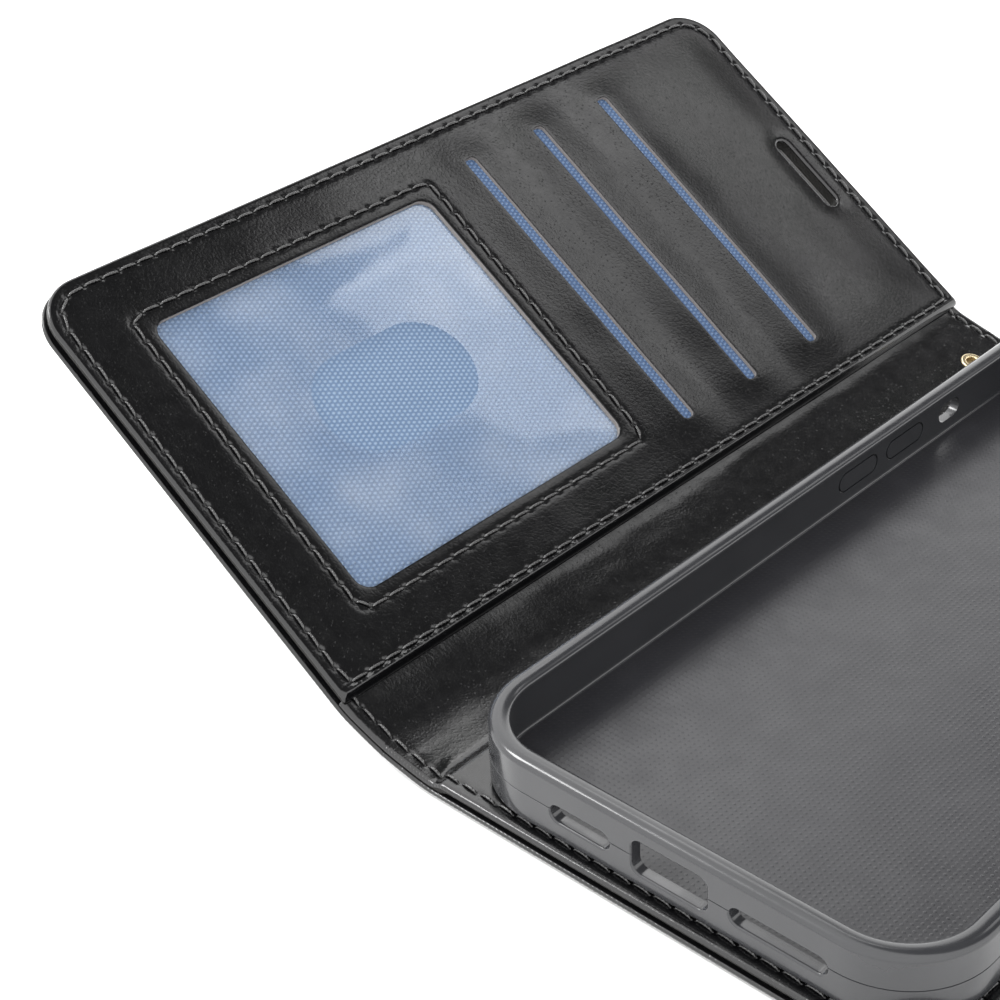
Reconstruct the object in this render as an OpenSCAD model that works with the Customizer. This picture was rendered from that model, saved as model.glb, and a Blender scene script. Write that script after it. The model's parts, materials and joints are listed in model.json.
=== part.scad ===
// Book-style phone wallet case: a moulded phone tray on a flat back cover, a soft spine,
// and a front cover with a window pocket, three card slots and a note pocket.
// The origin is the centre of the back cover's underside. +X runs from the spine to the
// free edge, +Y along the spine to the phone's top, +Z up. All sizes are in millimetres.

/* [Phone] */
// Width of the phone that the tray holds
phone_w = 71.5; // [64:0.1:80]
// Length of the phone
phone_l = 146.7; // [130:0.1:165]
// Thickness of the phone
phone_t = 7.7; // [7:0.1:9]

/* [Tray] */
// Thickness of the tray's side walls
tray_wall = 1.75; // [1.4:0.05:2.2]
// Thickness of the tray's floor
tray_floor = 1.1; // [0.9:0.1:1.6]
// Radius of the tray's outer corners, seen from above
tray_corner_r = 13; // [11:0.5:15]
// How far the lip over the glass reaches in from the outer wall
lip_reach = 3; // [2.4:0.1:3.6]
// Width of the charging port cut-out
port_w = 11.8; // [10:0.1:13]
// Height of the charging port cut-out
port_h = 5.3; // [4.8:0.1:5.8]
// Side of the camera cut-out across the case
camera_w = 34; // [28:1:38]
// Side of the camera cut-out along the case
camera_l = 36; // [28:1:40]

/* [Cover] */
// Length of the covers and the spine along the hinge
case_l = 154; // [152:0.5:158]
// Width of the front cover, from its hinge end to its free edge
front_w = 75.6; // [74:0.1:78]
// Bare leather between the hinge and the tray's wall
tray_margin_hinge = 3.6; // [2.8:0.1:4.5]
// Bare leather between the tray's wall and the back cover's free edge
tray_margin_free = 1.95; // [1.5:0.05:4]
// Width of the spine between its two fold lines
spine_w = 15.5; // [14.9:0.1:17]
// Radius of the covers' free corners
corner_r = 8; // [5:0.5:10]

/* [Open position] */
// Rise of the spine above the table
spine_angle = 16; // [5:0.5:40]
// Rise of the front cover above the table
front_angle = 34.5; // [20:0.5:60]

/* [Pockets] */
// Distance from the near end of the cover to the window
window_start = 14; // [12:0.5:16]
// Window opening along the cover
window_l = 57.5; // [50:0.1:58]
// Window opening across the cover
window_w = 51.3; // [46:0.1:53]
// Length of a card slot, across the cover
slot_l = 57.8; // [56:0.1:60]
// Distance between card slots
slot_pitch = 16.85; // [13:0.05:17.4]
// Length of the thumb cut-out in the window film
thumb_l = 30.2; // [20:0.1:36]
// Width of the thumb cut-out
thumb_w = 17.7; // [14:0.1:20]

/* [Eyelet] */
// Bore of the lanyard eyelet
eyelet_bore = 2.4; // [2:0.1:2.8]
// Outer diameter of the eyelet's flange
eyelet_flange = 4.4; // [4:0.1:5]

/* [Hidden] */
$fn = 64;
eps = 0.01;

// Sheet thicknesses, from the outside in
skin_t = 0.8;
board_t = 0.8;
back_board_t = 0.9;
note_lining_t = 0.3;
fabric_t = 0.25;
film_t = 0.25;
facing_t = 0.8;
back_lining_t = 0.8;
interlining_t = 0.3;
spine_lining_t = 0.7;
pad_t = 0.3;

// Levels in the back cover, up from the table
back_board_z = skin_t;
back_lining_z = back_board_z + back_board_t;
back_t = back_lining_z + back_lining_t;

// Levels in the front cover, up from its outer face
board_z = skin_t;
note_lining_z = board_z + board_t;
card_lining_z = note_lining_z + note_lining_t;
film_z = card_lining_z + fabric_t;
facing_z = film_z + film_t;
front_t = facing_z + facing_t;

// The spine folds about an axis at the middle of its own thickness, at both edges
spine_t = skin_t + interlining_t + spine_lining_t;
axis_z = spine_t / 2;
hinge_gap = spine_t / 2 + 0.25;

// The back cover is centred on the origin
tray_w = phone_w + 2 * tray_wall;
tray_l = phone_l + 2 * tray_wall;
back_w = tray_margin_hinge - hinge_gap + tray_w + tray_margin_free;
hinge_a_x = -back_w / 2 - hinge_gap;
tray_x = hinge_a_x + tray_margin_hinge + tray_w / 2;
hinge_b_x = hinge_a_x - spine_w * cos(spine_angle);
hinge_b_z = axis_z + spine_w * sin(spine_angle);

// Tray levels
tray_z = back_t + pad_t;
phone_room = 0.15;
lip_t = 1.2;
tray_h = tray_floor + phone_t + phone_room + lip_t;
bay_mid_z = tray_z + tray_floor + phone_t / 2;

// Turned edge around the covers, where the facing meets the skin
rim_w = 3;
board_gap_hinge = 0.6;

// Cut-outs in the tray's near wall: [distance from the middle, straight length, height]
sound_h = 2.6;
sound_z = bay_mid_z - 0.45;
microphone_x = -14.5;
microphone_l = 7.2;
speaker_x = 16.4;
speaker_l = 11.6;
port_r = 1.4;
port_z = tray_z + 2.35;

// Camera cut-out
camera_r = 9;
camera_inset = 2.5;
camera_x = tray_x + phone_w / 2 - camera_inset - camera_w / 2;
camera_y = phone_l / 2 - camera_inset - camera_l / 2;
camera_rim = 1;

// Side button pads
pad_h = 3;
pad_clear = 0.3;
pad_proud = 0.5;
volume_l = 10;
volume_up_y = phone_l / 2 - 44;
volume_down_y = phone_l / 2 - 57;
power_l = 16;
power_y = phone_l / 2 - 50;
mute_y = phone_l / 2 - 31;
mute_l = 6;
mute_h = 3.4;

// Front cover features, as distances from the near end (u) and from the hinge end (v)
window_v = 11.8;
window_r = 2.5;
slot_count = 3;
slot_w = 2;
slot_v = 8.3;
first_slot_u = window_start + window_l + 12.6;
film_border = 3;
divider_back = 9.3;
divider_lead = 1.6;
divider_side = 1.8;
thumb_u = window_start + window_l / 2 - 0.15;
thumb_v = window_v + window_w / 2 - 0.3;
ear_l = 16.1;
ear_w = 3.2;
ear_u = case_l - 7.5;
ear_v = 35.65;
pocket_inset = 6;
hem_w = 4;
hem_t = fabric_t;
magnet_d = 6;
magnet_v = front_w - 6.6;

// Lanyard eyelet
eyelet_x = 5;
eyelet_y = case_l / 2 - 11;
eyelet_wall = 0.3;
flange_t = 0.35;
flare_t = 0.2;
barrel_d = eyelet_bore + 2 * eyelet_wall;

function slot_u(i) = first_slot_u + i * slot_pitch;

// ---- shared outlines ----

// A rounded rectangle about its middle
module rounded(w, l, r) {
    square([w - 2 * r, l], center = true);
    square([w, l - 2 * r], center = true);
    for (sx = [-1, 1], sy = [-1, 1])
        translate([sx * (w / 2 - r), sy * (l / 2 - r)]) circle(r = r);
}

// A slot with round ends, its length along X
module oblong(length, width) {
    square([length - width, width], center = true);
    for (s = [-1, 1]) translate([s * (length - width) / 2, 0]) circle(d = width);
}

// A cover's outline from its hinge end at x = 0, drawn in by inset at its three free sides
module cover_outline(w, inset = 0, hinge_inset = 0) {
    translate([hinge_inset, inset - case_l / 2])
        square([w - corner_r - hinge_inset, case_l - 2 * inset]);
    translate([hinge_inset, corner_r - case_l / 2])
        square([w - inset - hinge_inset, case_l - 2 * corner_r]);
    for (s = [-1, 1])
        translate([w - corner_r, s * (case_l / 2 - corner_r)]) circle(r = corner_r - inset);
}

// A rectangle on the front cover between two distances along it and two across it
module front_patch(u0, u1, v0, v1) {
    translate([v0, u0 - case_l / 2]) square([v1 - v0, u1 - u0]);
}

// ---- places ----

// From the flat front cover, x away from the hinge and z up from its outer face
module on_front() {
    translate([hinge_b_x, 0, hinge_b_z]) rotate([0, front_angle, 0]) mirror([1, 0, 0])
        translate([hinge_gap, 0, -axis_z]) children();
}

// From the flat spine, x from the back hinge and z up from its outer face
module on_spine() {
    translate([hinge_a_x, 0, axis_z]) rotate([0, spine_angle, 0]) mirror([1, 0, 0])
        translate([0, 0, -axis_z]) children();
}

module sheet(z, t) {
    translate([0, 0, z]) linear_extrude(t) children();
}

// ---- back cover ----

module back_outline(inset = 0, hinge_inset = 0) {
    translate([-back_w / 2, 0]) cover_outline(back_w, inset, hinge_inset);
}

module camera_outline(grow = 0) {
    translate([camera_x, camera_y])
        rounded(camera_w + 2 * grow, camera_l + 2 * grow, camera_r + grow);
}

module outer_skin_back() {
    color("#1b1b1d") sheet(0, skin_t) difference() {
        back_outline();
        camera_outline();
    }
}

module back_board() {
    color("#8a7c66") sheet(back_board_z, back_board_t) difference() {
        back_outline(rim_w, board_gap_hinge);
        camera_outline(camera_rim);
    }
}

// The lining turns down to the skin around its edge and around the camera cut-out
module inner_lining_back() {
    color("#232325") {
        sheet(back_lining_z, back_lining_t) difference() {
            back_outline();
            camera_outline();
        }
        sheet(back_board_z, back_board_t) difference() {
            back_outline();
            back_outline(rim_w, board_gap_hinge);
        }
        sheet(back_board_z, back_board_t) difference() {
            camera_outline(camera_rim);
            camera_outline();
        }
    }
}

module adhesive_pad() {
    color("#d8d4c4") sheet(back_t, pad_t) difference() {
        translate([tray_x, 0]) rounded(tray_w - 12, tray_l - 12, tray_corner_r - 6);
        camera_outline(camera_rim);
    }
}

// ---- tray ----

// Half section of the tray's wall: distance in from the outer face, and height
module wall_section() {
    polygon([
        [0.7, 0], [0, 0.7], [0, tray_h - 1.1], [0.35, tray_h - 0.35], [1.1, tray_h],
        [lip_reach - 0.6, tray_h], [lip_reach, tray_h - 0.5], [lip_reach, tray_h - lip_t + 0.3],
        [tray_wall, tray_h - lip_t], [tray_wall, tray_floor], [lip_reach, tray_floor],
        [lip_reach, 0]
    ]);
}

// One straight wall, standing off by the given half width and centred on X
module straight_wall(half_width, length) {
    translate([half_width, length / 2, 0]) rotate([90, 0, 0])
        linear_extrude(length) mirror([1, 0]) wall_section();
}

module tray_body() {
    straight_x = tray_w - 2 * tray_corner_r;
    straight_y = tray_l - 2 * tray_corner_r;
    for (a = [0, 180]) rotate([0, 0, a]) straight_wall(tray_w / 2, straight_y);
    for (a = [90, 270]) rotate([0, 0, a]) straight_wall(tray_l / 2, straight_x);
    for (sx = [0, 1], sy = [0, 1]) mirror([sx, 0, 0]) mirror([0, sy, 0])
        translate([straight_x / 2, straight_y / 2, 0])
            rotate_extrude(angle = 90) translate([tray_corner_r, 0]) mirror([1, 0]) wall_section();
    linear_extrude(tray_floor)
        rounded(tray_w - 2 * lip_reach + 1, tray_l - 2 * lip_reach + 1,
                tray_corner_r - lip_reach + 0.5);
}

// A cutter through the near wall, drawn as seen from the near end
module near_wall_cut(x, z) {
    translate([tray_x + x, -tray_l / 2 + tray_wall + 1, z]) rotate([90, 0, 0])
        linear_extrude(tray_wall + 2) children();
}

// A window through a side wall for a pad; side is -1 at the spine and 1 at the free edge
module side_wall_cut(side, y, length, height) {
    translate([tray_x + side * (tray_w / 2 - tray_wall / 2), y, bay_mid_z])
        rotate([90, 0, 90]) translate([0, 0, -tray_wall]) linear_extrude(2 * tray_wall)
            oblong(length, height);
}

module phone_shell() {
    color("#5a5a60") difference() {
        translate([tray_x, 0, tray_z]) tray_body();
        near_wall_cut(0, port_z + port_h / 2) rounded(port_w, port_h, port_r);
        near_wall_cut(microphone_x, sound_z) oblong(microphone_l + sound_h, sound_h);
        near_wall_cut(speaker_x, sound_z) oblong(speaker_l + sound_h, sound_h);
        sheet(tray_z - 1, tray_floor + 2) camera_outline();
        for (y = [volume_up_y, volume_down_y])
            side_wall_cut(-1, y, volume_l + 2 * pad_clear, pad_h + 2 * pad_clear);
        side_wall_cut(-1, mute_y, mute_l, mute_h);
        side_wall_cut(1, power_y, power_l + 2 * pad_clear, pad_h + 2 * pad_clear);
    }
}

// A button pad, flush with the inside of the wall and proud of the outside
module button_pad(side, y, length) {
    translate([tray_x + side * (tray_w / 2 - tray_wall), y, bay_mid_z])
        rotate([90, 0, side * 90]) linear_extrude(tray_wall + pad_proud)
            oblong(length, pad_h);
}

module volume_up_pad() {
    color("#66666c") button_pad(-1, volume_up_y, volume_l);
}

module volume_down_pad() {
    color("#66666c") button_pad(-1, volume_down_y, volume_l);
}

module power_pad() {
    color("#66666c") button_pad(1, power_y, power_l);
}

// ---- spine ----

// The spine's whole section, a flat strip with round ends on its two fold lines
module spine_body() {
    translate([spine_w / 2, case_l / 2, axis_z]) rotate([90, 0, 0])
        linear_extrude(case_l) oblong(spine_w + spine_t, spine_t);
}

module spine_layer(z, t) {
    on_spine() difference() {
        intersection() {
            spine_body();
            translate([-spine_t, -case_l / 2 - 1, z]) cube([spine_w + 2 * spine_t, case_l + 2, t]);
        }
        translate([eyelet_x, eyelet_y, -1]) cylinder(d = barrel_d, h = spine_t + 2);
    }
}

module outer_skin_spine() {
    color("#1b1b1d") spine_layer(0, skin_t);
}

module spine_interlining() {
    color("#77736a") spine_layer(skin_t, interlining_t);
}

module inner_lining_spine() {
    color("#232325") spine_layer(skin_t + interlining_t, spine_lining_t);
}

// Flange on the inside, barrel through the spine, and a flare over the washer
module lanyard_eyelet() {
    color("#cdb98a") on_spine() translate([eyelet_x, eyelet_y, 0]) difference() {
        union() {
            translate([0, 0, spine_t]) cylinder(d = eyelet_flange, h = flange_t);
            translate([0, 0, -flange_t]) cylinder(d = barrel_d, h = spine_t + flange_t + eps);
            translate([0, 0, -flange_t - flare_t]) cylinder(d = barrel_d + 0.6, h = flare_t);
        }
        translate([0, 0, -2]) cylinder(d = eyelet_bore, h = spine_t + 4);
    }
}

module eyelet_washer() {
    color("#cdb98a") on_spine() translate([eyelet_x, eyelet_y, -flange_t]) difference() {
        cylinder(d = eyelet_flange, h = flange_t);
        translate([0, 0, -1]) cylinder(d = barrel_d, h = flange_t + 2);
    }
}

// ---- front cover ----

module ear_outline() {
    translate([ear_v, ear_u - case_l / 2]) oblong(ear_l, ear_w);
}

module window_outline() {
    translate([window_v + window_w / 2, window_start + window_l / 2 - case_l / 2])
        rounded(window_w, window_l, window_r);
}

module thumb_outline() {
    translate([thumb_v, thumb_u - case_l / 2]) rotate(90) oblong(thumb_l, thumb_w);
}

module film_outline() {
    front_patch(window_start - film_border, window_start + window_l + film_border,
                window_v - film_border, window_v + window_w + film_border);
}

module divider_outline(i) {
    front_patch(slot_u(i) - divider_back, slot_u(i) + divider_lead,
                slot_v - divider_side, slot_v + slot_l + divider_side);
}

module magnet_outline() {
    for (u = [case_l / 3, 2 * case_l / 3])
        translate([magnet_v, u - case_l / 2]) circle(d = magnet_d);
}

module outer_skin_front() {
    color("#1b1b1d") on_front() sheet(0, skin_t) difference() {
        cover_outline(front_w);
        ear_outline();
    }
}

module front_board() {
    color("#8a7c66") on_front() sheet(board_z, board_t) difference() {
        cover_outline(front_w, rim_w, board_gap_hinge);
        ear_outline();
        magnet_outline();
    }
}

module closure_magnets() {
    color("#b8bcc0") on_front() sheet(board_z, board_t) magnet_outline();
}

module note_pocket_lining() {
    color("#2b2d33") on_front() sheet(note_lining_z, note_lining_t) difference() {
        cover_outline(front_w, rim_w, board_gap_hinge);
        ear_outline();
    }
}

module card_pocket_lining() {
    color("#7fa3cc") on_front() sheet(card_lining_z, fabric_t)
        front_patch(8, ear_u - ear_w / 2 - 2, pocket_inset, front_w - 7);
}

module card_divider(i) {
    color("#7fa3cc") on_front() sheet(film_z, film_t) divider_outline(i);
}

module card_divider_1() {
    card_divider(0);
}

module card_divider_2() {
    card_divider(1);
}

module card_divider_3() {
    card_divider(2);
}

module window_film() {
    color("#c8d8e8", 0.5) on_front() sheet(film_z, film_t) difference() {
        film_outline();
        thumb_outline();
    }
}

// Thin foam around the film and the dividers
module facing_padding() {
    color("#4a4a4c") on_front() sheet(film_z, film_t) difference() {
        cover_outline(front_w, rim_w, pocket_inset);
        film_outline();
        ear_outline();
        for (i = [0:slot_count - 1]) divider_outline(i);
    }
}

// The facing turns down to the skin at the three free sides and is hemmed at the hinge side
module pocket_facing() {
    color("#232325") on_front() {
        sheet(facing_z, facing_t) difference() {
            cover_outline(front_w);
            window_outline();
            ear_outline();
            for (i = [0:slot_count - 1])
                front_patch(slot_u(i) - slot_w / 2, slot_u(i) + slot_w / 2,
                            slot_v, slot_v + slot_l);
        }
        sheet(board_z, facing_z - board_z) difference() {
            cover_outline(front_w);
            cover_outline(front_w, rim_w, -1);
        }
        sheet(facing_z - hem_t, hem_t)
            front_patch(rim_w, case_l - rim_w, 0, hem_w);
    }
}

// ---- assembly ----

outer_skin_back();
back_board();
inner_lining_back();
adhesive_pad();
phone_shell();
volume_up_pad();
volume_down_pad();
power_pad();
outer_skin_spine();
spine_interlining();
inner_lining_spine();
lanyard_eyelet();
eyelet_washer();
outer_skin_front();
front_board();
closure_magnets();
note_pocket_lining();
card_pocket_lining();
card_divider_1();
card_divider_2();
card_divider_3();
window_film();
facing_padding();
pocket_facing();
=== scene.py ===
"""Looks for the phone wallet case: leather covers, pockets, moulded tray, stitching and eyelet.

A flat place on the leather is (a, b, w): a runs across the case, b along it from its near end, and w
is the height above the outer face of the layer stack.
"""

import json
import math

import bmesh
import bpy
import numpy as np
from mathutils import Matrix, Vector, noise
from mathutils.geometry import delaunay_2d_cdt
from mathutils.kdtree import KDTree

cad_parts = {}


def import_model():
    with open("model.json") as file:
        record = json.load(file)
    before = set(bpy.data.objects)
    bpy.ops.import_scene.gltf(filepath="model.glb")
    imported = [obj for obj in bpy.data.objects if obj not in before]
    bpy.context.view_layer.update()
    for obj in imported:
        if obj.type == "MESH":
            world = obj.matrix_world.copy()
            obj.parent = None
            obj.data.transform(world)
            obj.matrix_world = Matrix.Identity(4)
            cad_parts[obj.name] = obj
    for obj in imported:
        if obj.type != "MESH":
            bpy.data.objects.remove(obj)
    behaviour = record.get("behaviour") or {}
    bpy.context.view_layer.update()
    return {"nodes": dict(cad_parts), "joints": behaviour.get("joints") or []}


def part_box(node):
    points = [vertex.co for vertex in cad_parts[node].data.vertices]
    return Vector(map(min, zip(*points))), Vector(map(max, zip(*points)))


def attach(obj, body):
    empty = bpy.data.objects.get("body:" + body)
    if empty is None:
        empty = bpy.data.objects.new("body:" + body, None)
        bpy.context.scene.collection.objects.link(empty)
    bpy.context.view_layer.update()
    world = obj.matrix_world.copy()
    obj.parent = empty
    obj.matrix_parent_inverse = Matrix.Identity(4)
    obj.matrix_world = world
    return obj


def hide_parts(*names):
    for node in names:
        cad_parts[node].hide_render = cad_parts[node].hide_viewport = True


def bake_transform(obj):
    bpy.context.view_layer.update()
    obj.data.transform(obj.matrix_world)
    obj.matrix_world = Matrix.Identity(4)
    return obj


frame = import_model()
nodes = frame["nodes"]

MM = 0.001

# ---- driving dimensions, as in part.scad ----

SKIN_T = 0.8
BACK_T = 2.5
SPINE_T = 1.8
SPINE_W = 15.5
AXIS_Z = 0.9
HINGE_GAP = 1.15
CASE_L = 154.0
FRONT_W = 75.6
CORNER_R = 8.0
FRONT_ANGLE = math.radians(34.5)

joint_place = {j["name"]: j["pos_m"] for j in frame["joints"] if "pos_m" in j}
HINGE_A = [v / MM for v in joint_place["spine_hinge"]]
HINGE_B = [v / MM for v in joint_place["front_hinge"]]
SPINE_ANGLE = math.atan2(HINGE_B[2] - HINGE_A[2], HINGE_A[0] - HINGE_B[0])

# Distance along the leather from hinge A: the front cover starts at FRONT_S, the back ends at BACK_S
FRONT_S = SPINE_W + HINGE_GAP
BACK_HIGH = Vector(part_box("outer_skin_back")[1]) / MM
BACK_S = HINGE_A[0] - BACK_HIGH.x
SPINE_MID = SPINE_W / 2

WINDOW_U, WINDOW_L = 14.0, 57.5
WINDOW_V, WINDOW_W = 11.8, 51.3
SLOT_U = [84.1, 100.95, 117.8]
SLOT_V, SLOT_L, SLOT_W = 8.3, 57.8, 2.45
EAR_U, EAR_V, EAR_L, EAR_W = 146.5, 35.65, 16.1, 3.2
THUMB_U, THUMB_V, THUMB_L, THUMB_W = 42.6, 37.15, 30.2, 17.7
HEM_EDGE_STITCH = 1.9
EDGE_STITCH = 2.4
WINDOW_STITCH = 2.4
STITCH_PITCH = 3.3
GROOVE_REACH, HOLE_REACH = 0.6, 0.42
THREAD_R = 0.21
THREAD_SLANT, THREAD_ARCH, THREAD_SUNK = 0.22, 0.38, 0.16
YARN_ACROSS, YARN_ALONG = 0.778, 0.82
FILM_LAP, FILM_T = 2.9, 0.12
CLOTH_T = 0.16
DIVIDER_SIDE, DIVIDER_DEEP, DIVIDER_SHOWN = 1.8, 9.3, 1.6
SAG, SAG_FULL_TO, SAG_FADE = 0.55, 60, 45


# ---- flat shapes ----


class Shape:
    """A rectangle with round corners: a0..a1 across, b0..b1 along, one radius at each end of a."""

    def __init__(self, a0, a1, b0, b1, radius, radius_a0=None):
        self.sides = (a0, a1, b0, b1)
        self.radii = (radius if radius_a0 is None else radius_a0, radius)

    def distance(self, a, b):
        """How far outside the shape a place is, negative inside."""
        a0, a1, b0, b1 = self.sides
        mid_a = (a0 + a1) / 2
        radius = np.where(a < mid_a, self.radii[0], self.radii[1])
        over_a = np.abs(a - mid_a) - (a1 - a0) / 2 + radius
        over_b = np.abs(b - (b0 + b1) / 2) - (b1 - b0) / 2 + radius
        corner = np.hypot(np.maximum(over_a, 0), np.maximum(over_b, 0))
        return corner + np.minimum(np.maximum(over_a, over_b), 0) - radius

    def loop(self, grow, step):
        """Points round the shape, grown by grow. Their number doesn't depend on grow."""
        a0, a1, b0, b1 = self.sides
        r0, r1 = self.radii
        corners = [(a1, b0, 1, -1, r1), (a1, b1, 1, 1, r1), (a0, b1, -1, 1, r0), (a0, b0, -1, -1, r0)]
        arcs = []
        for i, (a, b, side_a, side_b, radius) in enumerate(corners):
            grown = max(radius + grow, 0.04)
            centre = (a + side_a * (grow - grown), b + side_b * (grow - grown))
            count = max(3, math.ceil(radius * math.pi / 2 / step) + 1)
            turn = np.linspace(-math.pi / 2, 0, count) + i * math.pi / 2
            arcs.append(np.column_stack([centre[0] + grown * np.cos(turn),
                                         centre[1] + grown * np.sin(turn)]))
        points = []
        lengths = [b1 - b0 - 2 * r1, a1 - a0 - r0 - r1, b1 - b0 - 2 * r0, a1 - a0 - r0 - r1]
        for i, arc in enumerate(arcs):
            points.append(arc)
            count = max(1, math.ceil(lengths[i] / step))
            share = (np.arange(1, count) / count)[:, None]
            points.append(arc[-1] + (arcs[(i + 1) % 4][0] - arc[-1]) * share)
        loop = np.vstack(points)
        gap = np.linalg.norm(loop - np.roll(loop, 1, axis=0), axis=1)
        return loop if grow else loop[gap > 1e-3]


def oblong(mid_a, mid_b, size_a, size_b):
    """A slot with round ends."""
    return Shape(mid_a - size_a / 2, mid_a + size_a / 2, mid_b - size_b / 2, mid_b + size_b / 2,
                 min(size_a, size_b) / 2 - 0.01)


def resample(points, pitch, closed):
    """Points at an even pitch along a line."""
    line = np.vstack([points, points[:1]]) if closed else np.asarray(points, float)
    run = np.concatenate([[0], np.cumsum(np.linalg.norm(np.diff(line, axis=0), axis=1))])
    count = max(2, round(run[-1] / pitch))
    at = np.linspace(0, run[-1], count + 1)
    return np.column_stack([np.interp(at, run, line[:, 0]), np.interp(at, run, line[:, 1])])


# ---- from the flat leather to the case's frame ----


def smooth(x):
    x = np.clip(x, 0, 1)
    return x * x * (3 - 2 * x)


def bend_table():
    """Slope and place of the leather's middle along s, rounded over the two hinges."""
    reach = 2.5
    s = np.linspace(-reach, SPINE_W + reach, 400)
    slope = SPINE_ANGLE * smooth((s + reach) / (2 * reach))
    slope = slope + (FRONT_ANGLE - SPINE_ANGLE) * smooth((s - SPINE_W + reach) / (2 * reach))
    mid = (slope[1:] + slope[:-1]) / 2
    ds = np.diff(s)
    x = np.concatenate([[0], np.cumsum(-np.cos(mid) * ds)]) + HINGE_A[0] + reach
    z = np.concatenate([[0], np.cumsum(np.sin(mid) * ds)]) + AXIS_Z
    return s, slope, x, z


BEND_S, BEND_SLOPE, BEND_X, BEND_Z = bend_table()


def spine_sag(s, b):
    """The limp spine hangs below its hinges at the open near end, and lies flat at the eyelet."""
    along = 1 - smooth((b - SAG_FULL_TO) / SAG_FADE)
    across = np.sin(np.pi * np.clip((s + 1) / (SPINE_W + 2), 0, 1)) ** 2
    return SAG * along * across


def on_case(s, b, w):
    """Row frame place, in mm, of a flat place on the continuous leather."""
    s, b, w = np.broadcast_arrays(np.asarray(s, float), np.asarray(b, float), np.asarray(w, float))
    w = w - spine_sag(s, b)
    slope = np.interp(s, BEND_S, BEND_SLOPE)
    before = np.minimum(s - BEND_S[0], 0)
    after = np.maximum(s - BEND_S[-1], 0)
    x = np.interp(s, BEND_S, BEND_X) - before - after * math.cos(FRONT_ANGLE)
    z = np.interp(s, BEND_S, BEND_Z) + after * math.sin(FRONT_ANGLE)
    x = x + (w - AXIS_Z) * np.sin(slope)
    z = z + (w - AXIS_Z) * np.cos(slope)
    return np.column_stack([x, b - CASE_L / 2, z])


def on_front(v, b, w):
    """Row frame place of a flat place on the rigid front cover, v from its hinge end."""
    v, b, w = np.broadcast_arrays(np.asarray(v, float), np.asarray(b, float), np.asarray(w, float))
    run = v + HINGE_GAP
    cos, sin = math.cos(FRONT_ANGLE), math.sin(FRONT_ANGLE)
    x = HINGE_B[0] - run * cos + (w - AXIS_Z) * sin
    z = HINGE_B[2] + run * sin + (w - AXIS_Z) * cos
    return np.column_stack([x, b - CASE_L / 2, z])


# ---- mesh building ----


def wobble(a, b, scale, seed):
    """Smooth noise over flat places, about -0.5 to 0.5."""
    return np.array([noise.noise((x / scale, y / scale, seed)) for x, y in zip(a, b)])


def build(name, vertices, faces, materials, face_materials=None, flat=None, sharp=38):
    """A smooth shaded mesh object from mm places, with outward normals."""
    mesh = bpy.data.meshes.new(name)
    mesh.from_pydata((np.asarray(vertices) * MM).tolist(), [], faces)
    if face_materials is not None:
        mesh.polygons.foreach_set("material_index", face_materials)
    if flat is not None:
        attribute = mesh.attributes.new("flat", "FLOAT_VECTOR", "POINT")
        attribute.data.foreach_set("vector", np.asarray(flat, float).ravel())
    work = bmesh.new()
    work.from_mesh(mesh)
    bmesh.ops.recalc_face_normals(work, faces=work.faces)
    work.to_mesh(mesh)
    work.free()
    mesh.shade_smooth()
    mesh.set_sharp_from_angle(angle=math.radians(sharp))
    for material in materials:
        mesh.materials.append(material)
    piece = bpy.data.objects.new(name, mesh)
    bpy.context.scene.collection.objects.link(piece)
    return piece


def fill(loops, loose, keep):
    """Triangles between loops and loose points, where keep says so, and the loops' indices."""
    points = np.vstack(loops + [loose]) if len(loose) else np.vstack(loops)
    edges = []
    start = 0
    for loop in loops:
        count = len(loop)
        edges += [(start + i, start + (i + 1) % count) for i in range(count)]
        start += count
    made = delaunay_2d_cdt([Vector(p) for p in points], edges, [], 0, 1e-5)
    index = np.zeros(len(points), int)
    for new, olds in enumerate(made[3]):
        for old in olds:
            index[old] = new
    coords = np.array([v[:] for v in made[0]])
    faces = np.array([f for f in made[2] if len(f) == 3])
    middle = coords[faces].mean(axis=1)
    return coords, faces[keep(middle[:, 0], middle[:, 1])], index[:start]


def grid_points(outline, step, offset=0.0):
    """Staggered rows of points over a shape's box."""
    a0, a1, b0, b1 = outline.sides
    rows = np.arange(b0 + offset, b1, step * 0.87)
    points = [(a, b) for i, b in enumerate(rows)
              for a in np.arange(a0 + (i % 2) * step / 2 + offset, a1, step)]
    return np.array(points)


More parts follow.
